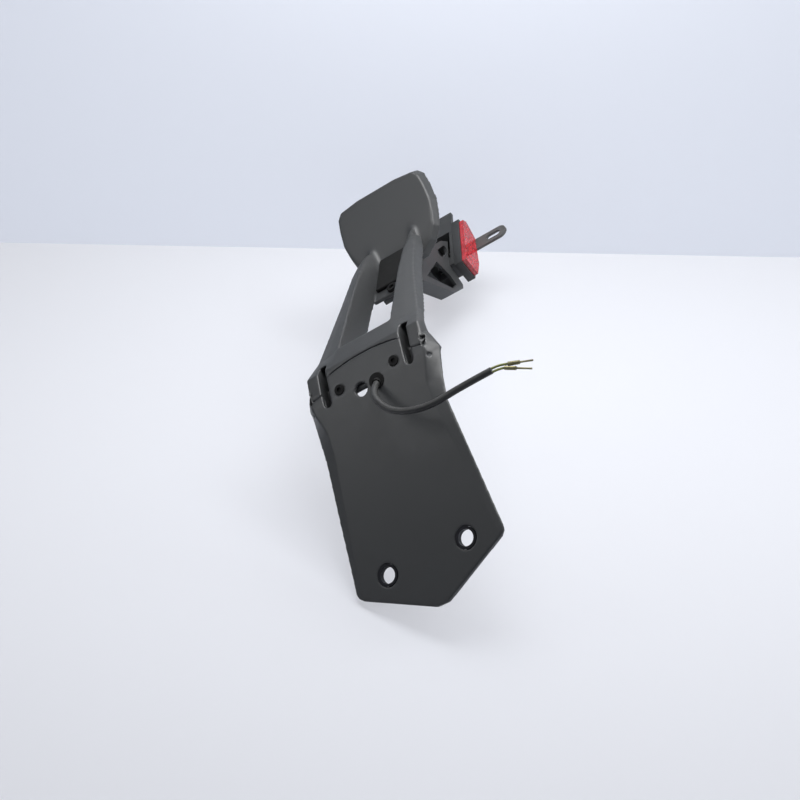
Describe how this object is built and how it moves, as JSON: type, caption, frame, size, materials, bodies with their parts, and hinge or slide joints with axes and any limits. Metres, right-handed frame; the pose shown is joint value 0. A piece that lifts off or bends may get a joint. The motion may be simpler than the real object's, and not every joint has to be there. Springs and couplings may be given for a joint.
{
  "type": "motorbike tail tidy",
  "caption": "Moulded black tail tidy: bolt-on mount plate, open stem with hood, arm with slotted number plate bar, lamp and red side reflectors.",
  "frame": {"origin": "midway between the two mounting bolts, on the face that meets the motorbike", "axes": "+Z out of the mounting face towards the motorbike, +Y from the bolts towards the hood, +X to the side so that the bolts lie along X"},
  "size_m": [0.1683, 0.3268, 0.2378],
  "materials": {
    "moulding": "fine satin grain, nearly black",
    "housing_plastic": "plain black",
    "sleeve_steel": "plain turned steel",
    "black_fastener": "black coated steel",
    "bar_coat": "dark powder coat",
    "red_reflector": "glossy red with prisms behind",
    "clear_window": "clear plastic",
    "rubber": "black",
    "sheath": "smooth black cable sheath",
    "wire_skin": "olive yellow",
    "terminal_metal": "bright"
  },
  "bodies": {
    "root": {"mount_plate": "moulding", "bolt_sleeves": "sleeve_steel", "stem_hood": "moulding", "carrier_arm": "moulding", "number_plate_bar": "bar_coat", "reflector_housing_right": "housing_plastic", "reflector_lens_right": "red_reflector", "reflector_housing_left": "housing_plastic", "reflector_lens_left": "red_reflector", "joint_screws": "black_fastener", "joint_nuts": "black_fastener", "bar_screws": "black_fastener", "bar_nuts": "black_fastener", "arm_screws": "black_fastener", "arm_nuts": "black_fastener", "lamp_housing": "housing_plastic", "lamp_lens": "clear_window", "cable_tail": "sheath", "cable_inner": "sheath", "cable_grommet": "rubber", "wire_upper": "wire_skin", "wire_lower": "wire_skin", "terminals": "terminal_metal"}
  },
  "joints": []
}
